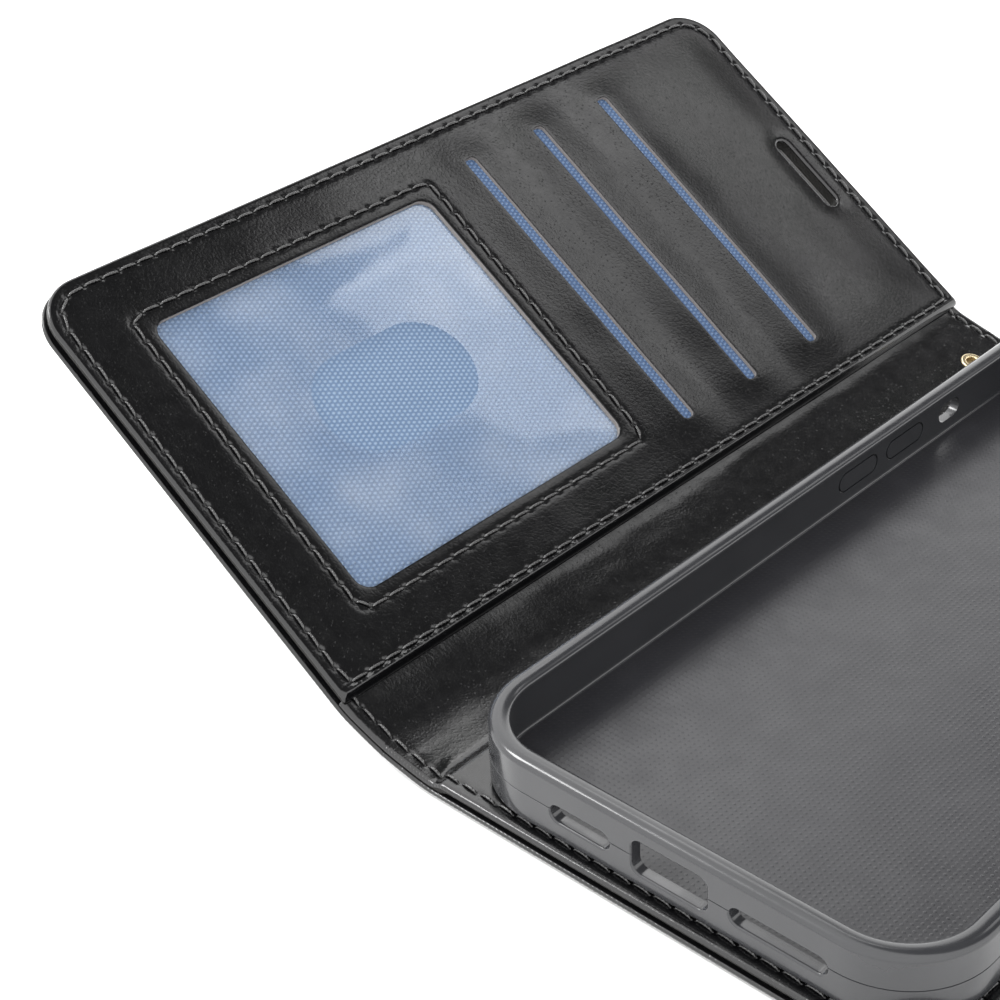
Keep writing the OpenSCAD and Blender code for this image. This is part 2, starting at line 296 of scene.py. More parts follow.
def panel(name, outline, holes, place, top, bottom, materials, rings=(0.12, 0.35, 0.7, 1.2),
          hole_rings=(0.1, 0.3, 0.7), bottom_rings=(0.15, 0.4), step=1.2, loop_step=0.7,
          bottom_step=5.0, bands=(), shift=0.0, hole_materials=None):
    """A closed panel of leather, cloth or film with an outline and holes. top and bottom give the
    heights of its two faces, and bands are lines of closely spaced points for stitched grooves."""
    loops = [outline.loop(0, loop_step)] + [hole.loop(0, loop_step * 0.7) for hole in holes]

    def margin(points):
        gap = -outline.distance(points[:, 0], points[:, 1])
        for hole in holes:
            gap = np.minimum(gap, hole.distance(points[:, 0], points[:, 1]))
        return gap

    def inside(a, b):
        return margin(np.column_stack([a, b])) > 0

    def loose_points(edge_rings, round_holes, spacing, lines):
        kept = []
        for inset in edge_rings:
            ring = outline.loop(-inset, loop_step)
            kept.append(ring[margin(ring) > inset * 0.8])
        for inset in round_holes:
            for hole in holes:
                ring = hole.loop(inset, loop_step * 0.7)
                kept.append(ring[margin(ring) > inset * 0.8])
        reach = max(list(edge_rings) + list(round_holes) + [0.1])
        tree = None
        if len(lines):
            band = np.vstack(lines)
            band = band[margin(band) > reach * 0.6]
            kept.append(band)
            tree = KDTree(len(band))
            for i, point in enumerate(band):
                tree.insert((point[0], point[1], 0), i)
            tree.balance()
        grid = grid_points(outline, spacing, 0.37)
        grid = grid[margin(grid) > reach + spacing * 0.4]
        if tree:
            near = [tree.find((p[0], p[1], 0))[2] for p in grid]
            grid = grid[np.array(near) > spacing * 0.5]
        kept.append(grid)
        return np.vstack(kept)

    up, up_faces, up_loops = fill(loops, loose_points(rings, hole_rings, step, bands), inside)
    down, down_faces, down_loops = fill(loops, loose_points(bottom_rings, (), bottom_step, ()), inside)
    up_w = top(up[:, 0], up[:, 1])
    down_w = bottom(down[:, 0], down[:, 1])
    count = len(up)
    faces = [tuple(int(i) for i in f) for f in up_faces]
    faces += [tuple(int(i) + count for i in f[::-1]) for f in down_faces]
    kinds = [0] * len(faces)
    start = 0
    for number, loop in enumerate(loops):
        total = len(loop)
        kind = 1 if number == 0 else (hole_materials or [1] * len(holes))[number - 1]
        for i in range(total):
            j = (i + 1) % total
            p, q = up_loops[start + i], up_loops[start + j]
            r, s = down_loops[start + j] + count, down_loops[start + i] + count
            faces.append((int(q), int(p), int(s), int(r)))
            kinds.append(kind)
        start += total
    a = np.concatenate([up[:, 0], down[:, 0]])
    b = np.concatenate([up[:, 1], down[:, 1]])
    w = np.concatenate([up_w, down_w])
    flat = np.column_stack([a + shift, b, w])
    return build(name, place(a, b, w), faces, materials, kinds, flat)


def tube(sections, wrap):
    """Faces joining rings of equal counts, closed end to start if wrap, else capped."""
    count = len(sections[0])
    vertices = np.vstack(sections)
    faces = []
    rounds = len(sections) if wrap else len(sections) - 1
    for i in range(rounds):
        here, there = i * count, (i + 1) % len(sections) * count
        for k in range(count):
            m = (k + 1) % count
            faces.append((here + k, here + m, there + m, there + k))
    if not wrap:
        faces.append(tuple(range(count))[::-1])
        faces.append(tuple(range(len(vertices) - count, len(vertices))))
    return vertices, faces


def rounding(depth, radius):
    """How far a face has dropped at a depth in from an edge rounded to radius."""
    in_by = np.clip(radius - depth, 0, radius)
    return radius - np.sqrt(radius * radius - in_by * in_by)


# ---- stitching ----


class StitchLine:
    """A row of stitches: needle holes at an even pitch, the groove they pull, and their threads."""

    def __init__(self, points, closed, distance):
        self.holes = resample(points, STITCH_PITCH, closed)
        self.line = resample(points, STITCH_PITCH / 8, closed)
        self.distance = distance
        self.tree = KDTree(len(self.holes))
        for i, hole in enumerate(self.holes):
            self.tree.insert((hole[0], hole[1], 0), i)
        self.tree.balance()

    def band(self, offsets=(-1.7, -1.15, -0.75, -0.4, -0.15, 0.15, 0.4, 0.75, 1.15, 1.7)):
        """Closely spaced points beside the line."""
        ahead = np.roll(self.line, -1, axis=0) - np.roll(self.line, 1, axis=0)
        ahead[0] = self.line[1] - self.line[0]
        ahead[-1] = self.line[-1] - self.line[-2]
        ahead = ahead / np.maximum(np.linalg.norm(ahead, axis=1), 1e-6)[:, None]
        side = np.column_stack([-ahead[:, 1], ahead[:, 0]])
        return np.vstack([self.line + side * offset for offset in offsets])

    def relief(self, a, b, groove=0.07, dip=0.2):
        """The groove that the pulled thread makes in the leather, with a dip at each needle hole."""
        gap = np.abs(self.distance(a, b))
        height = -groove * np.exp(-(gap / GROOVE_REACH) ** 2)
        near = np.where(gap < 3.0)[0]
        if len(near):
            reach = np.array([self.tree.find((a[i], b[i], 0))[2] for i in near])
            height[near] -= dip * np.exp(-(reach / HOLE_REACH) ** 2)
        return height


def stitches(name, lines, material, body):
    """Threads between the needle holes of several lines, each given with its place, height and side.
    side is 1 for a line seen from inside the case and -1 for one on its outer face."""
    rings, sides = 9, 8
    t = np.linspace(0, 1, rings)
    arch = np.sin(math.pi * t) ** 0.45
    turn = np.arange(sides) * 2 * math.pi / sides
    vertices, faces, flat = [], [], []
    for line, place, height, side, keep in lines:
        holes = line.holes
        for p, q in zip(holes[:-1], holes[1:]):
            if not keep((p[0] + q[0]) / 2, (p[1] + q[1]) / 2):
                continue
            ahead = (q - p) / max(np.linalg.norm(q - p), 1e-6)
            across = np.array([-ahead[1], ahead[0]])
            slant = (t - 0.5)[:, None] * across * THREAD_SLANT
            centre = p + (q - p) * (0.04 + 0.92 * t)[:, None] + slant
            w = height(centre[:, 0], centre[:, 1]) + side * (arch * THREAD_ARCH - THREAD_SUNK)
            mid = place(centre[:, 0], centre[:, 1], w)
            up = place(centre[:, 0], centre[:, 1], w + 1) - mid
            forward = mid[-1] - mid[0]
            forward = forward / max(np.linalg.norm(forward), 1e-6)
            over = np.cross(forward, up)
            over = over / np.linalg.norm(over, axis=1)[:, None]
            thick = THREAD_R * (0.55 + 0.45 * arch)
            start = sum(len(v) for v in vertices)
            rings_here = [mid[i] + thick[i] * (np.outer(np.cos(turn), over[i])
                                               + 0.85 * np.outer(np.sin(turn), up[i]))
                          for i in range(rings)]
            points, quads = tube(rings_here, False)
            vertices.append(points)
            faces += [tuple(k + start for k in quad) for quad in quads]
            along = np.repeat(t * STITCH_PITCH, sides)
            flat.append(np.column_stack([along, np.tile(turn, rings), np.zeros(rings * sides)]))
    piece = build(name, np.vstack(vertices), faces, [material], None, np.vstack(flat), 60)
    if isinstance(body, str):
        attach(piece, body)
    else:
        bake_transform(piece)
    return piece


# ---- materials ----


class Nodes:
    """Short calls for a material's node tree."""

    def __init__(self, name):
        self.material = bpy.data.materials.new(name)
        self.material.use_nodes = True
        self.tree = self.material.node_tree
        self.tree.nodes.clear()
        self.output = self.new("ShaderNodeOutputMaterial")
        self.shader = None

    def new(self, kind, **values):
        node = self.tree.nodes.new(kind)
        for key, value in values.items():
            setattr(node, key, value)
        return node

    def link(self, source, target):
        self.tree.links.new(source, target)

    def principled(self, **values):
        shader = self.new("ShaderNodeBsdfPrincipled")
        for key, value in values.items():
            shader.inputs[key.replace("_", " ")].default_value = value
        self.link(shader.outputs[0], self.output.inputs["Surface"])
        self.shader = shader
        return shader

    def flat(self):
        """The flat leather place in mm, which moves with the leather."""
        return self.new("ShaderNodeAttribute", attribute_name="flat").outputs["Vector"]

    def place(self):
        """The row frame place, in mm."""
        node = self.new("ShaderNodeTexCoord")
        scale = self.new("ShaderNodeVectorMath", operation="SCALE")
        scale.inputs["Scale"].default_value = 1 / MM
        self.link(node.outputs["Object"], scale.inputs[0])
        return scale.outputs[0]

    def stretch(self, vector, scale, turn=0.0):
        node = self.new("ShaderNodeMapping")
        node.inputs["Scale"].default_value = scale
        node.inputs["Rotation"].default_value = (0, 0, turn)
        self.link(vector, node.inputs["Vector"])
        return node.outputs[0]

    def noise(self, vector, size, detail=3.0, rough=0.55):
        """Noise with features of about size mm."""
        node = self.new("ShaderNodeTexNoise")
        node.inputs["Scale"].default_value = 1 / size
        node.inputs["Detail"].default_value = detail
        node.inputs["Roughness"].default_value = rough
        self.link(vector, node.inputs["Vector"])
        return node.outputs["Fac"]

    def cells(self, vector, size, feature="F1", randomness=1.0):
        node = self.new("ShaderNodeTexVoronoi", feature=feature)
        node.inputs["Scale"].default_value = 1 / size
        node.inputs["Randomness"].default_value = randomness
        self.link(vector, node.inputs["Vector"])
        return node.outputs["Distance"]

    def math(self, operation, first, second=0.0):
        node = self.new("ShaderNodeMath", operation=operation)
        for socket, value in zip(node.inputs, (first, second)):
            if isinstance(value, (int, float)):
                socket.default_value = value
            else:
                self.link(value, socket)
        return node.outputs[0]

    def wave(self, vector, direction, shift):
        """Cosine ripples along a direction, whose length is the turn in radians per mm."""
        node = self.new("ShaderNodeVectorMath", operation="DOT_PRODUCT")
        node.inputs[1].default_value = direction
        self.link(vector, node.inputs[0])
        return self.math("COSINE", self.math("ADD", node.outputs["Value"], shift))

    def span(self, value, low, high, out_low, out_high):
        """Maps low..high to out_low..out_high, smoothly and clamped."""
        node = self.new("ShaderNodeMapRange", interpolation_type="SMOOTHSTEP")
        for socket, number in zip(list(node.inputs)[1:5], (low, high, out_low, out_high)):
            socket.default_value = number
        self.link(value, node.inputs["Value"])
        return node.outputs["Result"]

    def blend_colour(self, factor, first, second):
        node = self.new("ShaderNodeMix", data_type="RGBA")
        for socket in node.inputs:
            if socket.type == "RGBA" and socket.name in "AB":
                socket.default_value = (*(first if socket.name == "A" else second), 1)
        self.link(factor, node.inputs["Factor"])
        return [s for s in node.outputs if s.type == "RGBA"][0]

    def bump(self, height, depth, normal=None):
        """Bump of that depth in mm."""
        node = self.new("ShaderNodeBump")
        node.inputs["Distance"].default_value = depth * MM
        self.link(height, node.inputs["Height"])
        if normal is not None:
            self.link(normal, node.inputs["Normal"])
        return node.outputs[0]

    def finish(self, colour=None, roughness=None, normal=None):
        for name, source in (("Base Color", colour), ("Roughness", roughness), ("Normal", normal)):
            if source is not None:
                self.link(source, self.shader.inputs[name])
        return self.material


def leather(name, base, sheen, rough, grain, crease=0.0, crease_turn=0.0):
    """Glossy coated leather: pebbled grain, fine pores, soft undulation and optional creases."""
    n = Nodes(name)
    n.principled(Specular_IOR_Level=0.42, Coat_Weight=0.25, Coat_Roughness=0.12)
    flat = n.flat()
    pebble = n.cells(flat, 0.8, "DISTANCE_TO_EDGE")
    pebble = n.span(pebble, 0.0, 0.25, 0.0, 1.0)
    pores = n.noise(flat, 0.6, 1.0)
    patches = n.noise(flat, 7.0, 4.0)
    soft = n.noise(flat, 6.0, 1.0)
    normal = n.bump(soft, 0.02)
    if crease:
        drawn = n.stretch(flat, (0.34, 1.0, 1.0), crease_turn)
        folds = n.noise(drawn, 0.75, 3.0, 0.6)
        normal = n.bump(folds, crease, normal)
    pits = n.span(n.cells(flat, 0.75), 0.0, 0.25, 0.0, 1.0)
    normal = n.bump(pebble, grain * 0.2, normal)
    normal = n.bump(pits, grain * 0.8, normal)
    normal = n.bump(pores, grain * 0.42, normal)
    colour = n.blend_colour(patches, base, sheen)
    roughness = n.span(n.noise(flat, 2.2, 3.0), 0.3, 0.7, rough - 0.03, rough + 0.03)
    return n.finish(colour, roughness, normal)


def edge_paint():
    """Glossy painted edge with a slightly lumpy run."""
    n = Nodes("edge_paint")
    n.principled(Coat_Weight=0.6, Coat_Roughness=0.08)
    flat = n.flat()
    normal = n.bump(n.noise(flat, 0.9, 3.0), 0.16)
    colour = n.blend_colour(n.noise(flat, 2.5), (0.010, 0.009, 0.009), (0.022, 0.020, 0.018))
    roughness = n.span(n.noise(flat, 1.3), 0.3, 0.7, 0.16, 0.32)
    return n.finish(colour, roughness, normal)


def glued_edge():
    """The dull dark side where padding and leather are glued under the rolled edge."""
    n = Nodes("glued_edge")
    n.principled(Specular_IOR_Level=0.12)
    flat = n.flat()
    beads = n.noise(flat, 0.5, 3.0)
    colour = n.blend_colour(beads, (0.003, 0.003, 0.003), (0.012, 0.011, 0.010))
    return n.finish(colour, n.span(beads, 0.3, 0.7, 0.35, 0.6), n.bump(beads, 0.2))


def cut_edge():
    """The pale brown-grey backing seen where coated leather is cut."""
    n = Nodes("leather_cut_edge")
    n.principled(Specular_IOR_Level=0.2)
    flat = n.flat()
    fibres = n.noise(n.stretch(flat, (1.0, 1.0, 4.0)), 0.35, 4.0)
    colour = n.blend_colour(fibres, (0.09, 0.085, 0.085), (0.22, 0.205, 0.198))
    return n.finish(colour, n.span(fibres, 0, 1, 0.75, 0.95), n.bump(fibres, 0.08))


def fabric(name, dark, light):
    """Oxford weave: offset rows of raised dots of pale yarn over a deeper ground."""
    n = Nodes(name)
    n.principled(Sheen_Weight=0.25, Sheen_Roughness=0.4, Specular_IOR_Level=0.3)
    flat = n.flat()
    warp = n.math("MULTIPLY", n.noise(flat, 9.0, 2.0), 2.2)
    across, along = 2 * math.pi / YARN_ACROSS, math.pi / YARN_ALONG
    waves = [n.wave(flat, (across, along, 0), warp), n.wave(flat, (across, -along, 0), warp),
             n.wave(flat, (0, 2 * along, 0), 0.0)]
    dots = n.math("ADD", waves[0], n.math("ADD", waves[1], waves[2]))
    dots = n.span(dots, -1.1, 2.5, 0.0, 1.0)
    yarn = n.noise(n.stretch(flat, (3.0, 1.0, 1.0)), 0.5, 3.0)
    patches = n.noise(flat, 12.0, 3.0)
    tone = n.math("ADD", n.math("MULTIPLY", dots, 0.54), n.math("MULTIPLY", yarn, 0.22))
    tone = n.math("ADD", tone, n.math("MULTIPLY", patches, 0.14))
    colour = n.blend_colour(tone, dark, light)
    normal = n.bump(yarn, 0.03, n.bump(dots, 0.13))
    return n.finish(colour, n.span(dots, 0, 1, 0.72, 0.5), normal)


def clear_film():
    """Clear vinyl: what is behind shows through, with a soft reflection from its two faces."""
    n = Nodes("window_film_clear")
    through = n.new("ShaderNodeBsdfTransparent")
    through.inputs["Color"].default_value = (0.985, 0.99, 1.0, 1)
    face = n.new("ShaderNodeBsdfGlossy")
    face.inputs["Color"].default_value = (1, 1, 1, 1)
    face.inputs["Roughness"].default_value = 0.07
    fresnel = n.new("ShaderNodeFresnel")
    fresnel.inputs["IOR"].default_value = 1.5
    flat = n.flat()
    waves = n.bump(n.noise(flat, 14.0, 1.0, 0.4), 0.12)
    n.link(waves, face.inputs["Normal"])
    n.link(waves, fresnel.inputs["Normal"])
    inside = n.new("ShaderNodeNewGeometry").outputs["Backfacing"]
    # The back face adds half as much again to what the front face reflects
    both_faces = n.math("MULTIPLY", fresnel.outputs[0], 1.5)
    share = n.math("MULTIPLY", both_faces, n.math("SUBTRACT", 1.0, inside))
    mix = n.new("ShaderNodeMixShader")
    n.link(share, mix.inputs[0])
    milky = n.new("ShaderNodeBsdfDiffuse")
    milky.inputs["Color"].default_value = (0.8, 0.83, 0.87, 1)
    body = n.new("ShaderNodeMixShader")
    n.link(n.span(n.noise(flat, 18.0, 2.0), 0.35, 0.75, 0.01, 0.06), body.inputs[0])
    n.link(through.outputs[0], body.inputs[1])
    n.link(milky.outputs[0], body.inputs[2])
    n.link(body.outputs[0], mix.inputs[1])
    n.link(face.outputs[0], mix.inputs[2])
    n.link(mix.outputs[0], n.output.inputs["Surface"])
    return n.material


def tray_plastic():
    """Smoke grey flexible plastic with a soft moulded gloss."""
    n = Nodes("tray_smoke_plastic")
    n.principled(Specular_IOR_Level=0.45, Coat_Weight=0.2, Coat_Roughness=0.05)
    place = n.place()
    swirl = n.noise(place, 11.0, 3.0)
    colour = n.blend_colour(swirl, (0.014, 0.0145, 0.016), (0.023, 0.0235, 0.026))
    roughness = n.span(n.noise(place, 4.0, 3.0), 0.3, 0.7, 0.16, 0.24)
    normal = n.bump(n.noise(place, 9.0, 1.0), 0.05)
    return n.finish(colour, roughness, normal)


def tray_floor_plastic():
    """The tray's floor, moulded with a faint grid of dots that keeps the phone from sticking to it."""
    n = Nodes("tray_floor_plastic")
    n.principled(Specular_IOR_Level=0.5)
    place = n.place()
    grid = n.cells(n.stretch(place, (1, 1, 0)), 0.9, "F1", 0.0)
    dots = n.span(grid, 0.16, 0.3, 1.0, 0.0)
    colour = n.blend_colour(n.noise(place, 14.0, 3.0), (0.012, 0.012, 0.014), (0.02, 0.02, 0.023))
    normal = n.bump(dots, 0.02, n.bump(n.noise(place, 20.0, 2.0), 0.25))
    return n.finish(colour, n.span(n.noise(place, 5.0), 0.3, 0.7, 0.3, 0.4), normal)


def thread_material():
    """Twisted black thread with a waxy glint."""
    n = Nodes("thread_black")
    n.principled(Specular_IOR_Level=0.7, Coat_Weight=0.4, Coat_Roughness=0.15)
    parts = n.new("ShaderNodeSeparateXYZ")
    n.link(n.flat(), parts.inputs[0])
    along = n.math("MULTIPLY", parts.outputs[0], 9.0)
    around = n.math("MULTIPLY", parts.outputs[1], 2.0)
    ply = n.span(n.math("SINE", n.math("ADD", along, around)), -1, 1, 0, 1)
    colour = n.blend_colour(ply, (0.004, 0.004, 0.004), (0.016, 0.015, 0.015))
    return n.finish(colour, n.span(ply, 0, 1, 0.42, 0.22), n.bump(ply, 0.07))


def metal(name, colour_low, colour_high, rough):
    n = Nodes(name)
    n.principled(Metallic=1.0)
    place = n.place()
    colour = n.blend_colour(n.noise(place, 1.5, 4.0), colour_low, colour_high)
    brushed = n.noise(place, 0.15, 3.0)
    return n.finish(colour, n.span(brushed, 0.2, 0.8, rough, rough + 0.12), n.bump(brushed, 0.006))


def fibre(name, dark, light, size):
    """Board, felt, foam or backing cloth that stays inside the case."""
    n = Nodes(name)
    n.principled(Specular_IOR_Level=0.2)
    place = n.place()
    strands = n.noise(place, size, 5.0, 0.65)
    return n.finish(n.blend_colour(strands, dark, light), n.span(strands, 0, 1, 0.8, 0.95),
                    n.bump(strands, 0.05))


def pale_floor():
    n = Nodes("pale_floor")
    n.principled(Specular_IOR_Level=0.1)
    tone = n.noise(n.place(), 400.0, 1.0)
    return n.finish(n.blend_colour(tone, (0.90, 0.90, 0.90), (0.93, 0.93, 0.93)),
                    n.span(tone, 0, 1, 0.85, 0.95))


LEATHER_IN = leather("leather_inner_black", (0.0012, 0.0012, 0.0014), (0.0028, 0.0028, 0.0032),
                     rough=0.19, grain=0.03)
LEATHER_SPINE = leather("leather_spine_black", (0.0014, 0.0014, 0.0016), (0.003, 0.003, 0.0034),
                        rough=0.22, grain=0.03, crease=0.03, crease_turn=0.5)
LEATHER_OUT = leather("leather_outer_black", (0.0015, 0.0015, 0.0017), (0.003, 0.003, 0.0034),
                      rough=0.2, grain=0.034)
EDGE = edge_paint()
GLUED = glued_edge()
CUT = cut_edge()
FABRIC = fabric("pocket_cloth_blue", (0.048, 0.086, 0.16), (0.217, 0.297, 0.4))
# Divider cloth: the same pocket cloth painted darker, as painted shade for the insides of the card
# slots.
FABRIC_SHADED = fabric("divider_cloth_blue_painted_shade", (0.022, 0.047, 0.108), (0.115, 0.185, 0.31))
FILM = clear_film()
PLASTIC = tray_plastic()
FLOOR_PLASTIC = tray_floor_plastic()
THREAD = thread_material()
GOLD = metal("eyelet_pale_gold", (0.62, 0.50, 0.30), (0.80, 0.68, 0.46), 0.2)
NICKEL = metal("magnet_nickel", (0.50, 0.51, 0.52), (0.66, 0.67, 0.68), 0.25)


# ---- shared shapes ----

FACING_INSET = 0.35
cover = Shape(0, FRONT_W - FACING_INSET, FACING_INSET, CASE_L - FACING_INSET,
              CORNER_R - FACING_INSET, 0.5)
window = Shape(WINDOW_V, WINDOW_V + WINDOW_W, WINDOW_U, WINDOW_U + WINDOW_L, 2.5)
ear_slot = oblong(EAR_V, EAR_U, EAR_L - 0.3, EAR_W - 0.3)
card_slots = [Shape(SLOT_V, SLOT_V + SLOT_L, u - SLOT_W / 2, u + SLOT_W / 2, 0.85) for u in SLOT_U]


def outline_stitches(a0, a1, radius_a0):
    """Stitches round the front cover's facing."""
    shape = Shape(a0, a1, EDGE_STITCH, CASE_L - EDGE_STITCH, CORNER_R - EDGE_STITCH, radius_a0)
    return StitchLine(shape.loop(0, 0.3), True, shape.distance)


facing_line = outline_stitches(HEM_EDGE_STITCH, FRONT_W - EDGE_STITCH, 0.6)
window_seam = Shape(WINDOW_V - WINDOW_STITCH, WINDOW_V + WINDOW_W + WINDOW_STITCH,
                    WINDOW_U - WINDOW_STITCH, WINDOW_U + WINDOW_L + WINDOW_STITCH, 1.2)
window_line = StitchLine(window_seam.loop(0, 0.3), True, window_seam.distance)


# ---- the facing of the front cover ----

free_edges = Shape(-30, FRONT_W - FACING_INSET, FACING_INSET, CASE_L - FACING_INSET,
                   CORNER_R - FACING_INSET, 0.5)
FACING_TOP = 3.12
HEM_W = 3.9
RIM_W = 2.8
LIP_DEPTH, LIP_LIFT = 0.85, 1.2


def pocket_rise(v, u):
    """The lips of the card slots stand up over the folded dividers."""
    nearest = np.min([slot.distance(v, u) for slot in card_slots], axis=0)
    return 0.32 * np.exp(-((np.maximum(nearest, 0) + 0.3) / 5.0) ** 1.5)


def facing_top(v, u):
    """Padded leather, pulled down by its stitches and rolled over at its edges."""
    edge = -cover.distance(v, u)
    height = FACING_TOP + 0.10 * smooth((edge - 3) / 8) + pocket_rise(v, u)
    height = height + 0.11 * wobble(v, u, 17.0, 3.1) + 0.03 * wobble(v, u, 7.0, 8.4)
    height = height + 0.30 * np.exp(-((v - 1.0) / 0.55) ** 2) * smooth(edge / 1.0)
    height = height - rounding(-free_edges.distance(v, u), 0.45) - rounding(v, 1.1)
    height = height + facing_line.relief(v, u) + window_line.relief(v, u)
    rim = window.distance(v, u)
    height = height - 0.10 * np.exp(-np.maximum(rim, 0) / 1.1) - rounding(np.maximum(rim, 0), 0.14)
    for slot in card_slots:
        rim = np.maximum(slot.distance(v, u), 0)
        height = height - rounding(rim, 0.12)
    rim = np.maximum(ear_slot.distance(v, u), 0)
    return height - 0.16 * np.exp(-(rim / 1.4) ** 2) - rounding(rim, 0.5)


def facing_bottom(v, u):
    """Flat on the film, thinned to a lip round the card slots, turned down to the outer skin by a
    core that lies back under the rolled free edges, and hemmed at the hinge."""
    free = -free_edges.distance(v, u)
    nearest = np.min([slot.distance(v, u) for slot in card_slots], axis=0)
    height = 2.44 + pocket_rise(v, u) + 0.58 * (nearest < 1.0)
    height = height - 1.5 * (1 - smooth((free - RIM_W) / 0.25))
    height = height + LIP_LIFT * (1 - smooth((free - LIP_DEPTH) / 0.12))
    height = np.where(ear_slot.distance(v, u) < 0.13, 0.9, height)
    height = np.where((v < HEM_W) & (free > RIM_W + 0.2), 1.98, height)
    edge = -cover.distance(v, u)
    rise = rounding(edge, 0.35)
    lift = np.where(v < 1.0, 0.75, 0.0) * (1 - smooth(v / 0.9))
    return np.minimum(height + rise + lift, FACING_TOP - 0.9)


facing = panel("pocket_facing_leather", cover, [window, ear_slot] + card_slots, on_front,
               facing_top, facing_bottom, [LEATHER_IN, GLUED, CUT],
               rings=(0.06, 0.2, 0.45, 0.8, 1.2, 1.6), hole_rings=(0.06, 0.2, 0.5, 1.0),
               bottom_rings=(0.1, 0.25, 0.5, LIP_DEPTH, LIP_DEPTH + 0.14, RIM_W, RIM_W + 0.3),
               step=1.25, loop_step=0.6,
               bands=[facing_line.band(), window_line.band()], shift=FRONT_S,
               hole_materials=[2, 1, 2, 2, 2])
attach(facing, "front_cover")
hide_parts("pocket_facing", "facing_padding")


# ---- cloth and film inside the pockets ----


def cloth_sheet(name, a0, a1, b0, b1, level, bow, follow, node, material):
    """A sheet of pocket cloth, lying slightly uneven."""
    shape = Shape(a0, a1, b0, b1, 0.3)

    def top(a, b):
        sway = bow * np.sin(np.pi * np.clip((a - a0) / (a1 - a0), 0, 1))
        return level + 0.10 + sway + 0.05 * wobble(a, b, 9.0, level) + follow * pocket_rise(a, b)

    piece = panel(name, shape, [], on_front, top, lambda a, b: top(a, b) - CLOTH_T, [material] * 2,
                  rings=(0.3,), bottom_rings=(0.5,), step=2.4, loop_step=2.0, bottom_step=5.0,
                  shift=FRONT_S)
    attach(piece, "front_cover")
    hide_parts(node)


POCKET_V = (6.0, FRONT_W - 7.0)
POCKET_U = (8.0, EAR_U - EAR_W / 2 - 2.0)
cloth_sheet("pocket_back_cloth", *POCKET_V, *POCKET_U, level=1.92, bow=0.0, follow=0.0,
            node="card_pocket_lining", material=FABRIC)
# The dividers take the darker cloth, whose colour is painted shade for the slots.
for number, u in enumerate(SLOT_U, start=1):
    cloth_sheet(f"card_divider_cloth_{number}", SLOT_V - DIVIDER_SIDE, SLOT_V + SLOT_L + DIVIDER_SIDE,
                u - DIVIDER_DEEP, u + DIVIDER_SHOWN, level=2.22, bow=0.03, follow=1.45,
                node=f"card_divider_{number}", material=FABRIC_SHADED)

thumb = Shape(THUMB_V - THUMB_W / 2, THUMB_V + THUMB_W / 2, THUMB_U - THUMB_L / 2,
              THUMB_U + THUMB_L / 2, THUMB_W / 2 - 0.01)
film_shape = Shape(WINDOW_V - FILM_LAP, WINDOW_V + WINDOW_W + FILM_LAP, WINDOW_U - FILM_LAP,
                   WINDOW_U + WINDOW_L + FILM_LAP, 0.5)


def film_top(v, u):
    """Film held flat by the seam, with slow waves between."""
    free = smooth(-window.distance(v, u) / 10)
    return 2.40 + free * (0.10 + 0.42 * wobble(v, u, 22.0, 5.5))


film = panel("window_film_sheet", film_shape, [thumb], on_front, film_top,
             lambda v, u: film_top(v, u) - FILM_T, [FILM, FILM], rings=(0.5,), hole_rings=(0.15, 0.6),
             bottom_rings=(0.5,), step=1.8, loop_step=1.0, bottom_step=1.8, shift=FRONT_S)
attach(film, "front_cover")
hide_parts("window_film")


# ---- the outer leather and the spine's lining ----

BEND = 2.9


def bend_ends(hinge_s):
    """Where, in metres, the leather starts and stops turning round a hinge."""
    return [tuple(Vector(on_case(hinge_s + side * BEND, CASE_L / 2, AXIS_Z)[0]) * MM)
            for side in (-1, 1)]


OVER_A = ("back_cover", "spine", *bend_ends(0))
OVER_B = ("spine", "front_cover", *bend_ends(SPINE_W))

# The whole outer skin laid flat, for distances from its edges across the join
whole_skin = Shape(BACK_S, FRONT_S + FRONT_W, 0, CASE_L, CORNER_R)
front_skin = Shape(SPINE_MID, FRONT_S + FRONT_W, 0, CASE_L, CORNER_R, 0.02)
back_skin = Shape(BACK_S, SPINE_MID, 0, CASE_L, 0.02, CORNER_R)
ear_through = oblong(FRONT_S + EAR_V, EAR_U, EAR_L - 0.3, EAR_W - 0.3)
whole_seam = Shape(BACK_S + EDGE_STITCH, FRONT_S + FRONT_W - EDGE_STITCH, EDGE_STITCH,
                   CASE_L - EDGE_STITCH, CORNER_R - EDGE_STITCH)
whole_line = StitchLine(whole_seam.loop(0, 0.3), True, whole_seam.distance)
EYELET_S, EYELET_B, EYELET_R = 5.0, CASE_L - 11.0, 1.5
eyelet_hole = Shape(EYELET_S - EYELET_R, EYELET_S + EYELET_R, EYELET_B - EYELET_R,
                    EYELET_B + EYELET_R, EYELET_R - 0.01)
camera_low = Vector((-0.5, 34.85))
camera_high = Vector((33.5, 70.85))
camera_hole = Shape(HINGE_A[0] - camera_high.x, HINGE_A[0] - camera_low.x,
                    camera_low.y + CASE_L / 2, camera_high.y + CASE_L / 2, 9.0)


def skin_top(s, b):
    edge = -whole_skin.distance(s, b)
    return SKIN_T - rounding(edge, 0.36)


def skin_bottom(s, b):
    """The outer face: soft edges, stitched all round, with a slight swell of the padding inside."""
    edge = -whole_skin.distance(s, b)
    flat_height = rounding(edge, 0.36) - whole_line.relief(s, b, 0.08, 0.14)
    return flat_height + 0.05 * (1 + wobble(s, b, 15.0, 1.7))


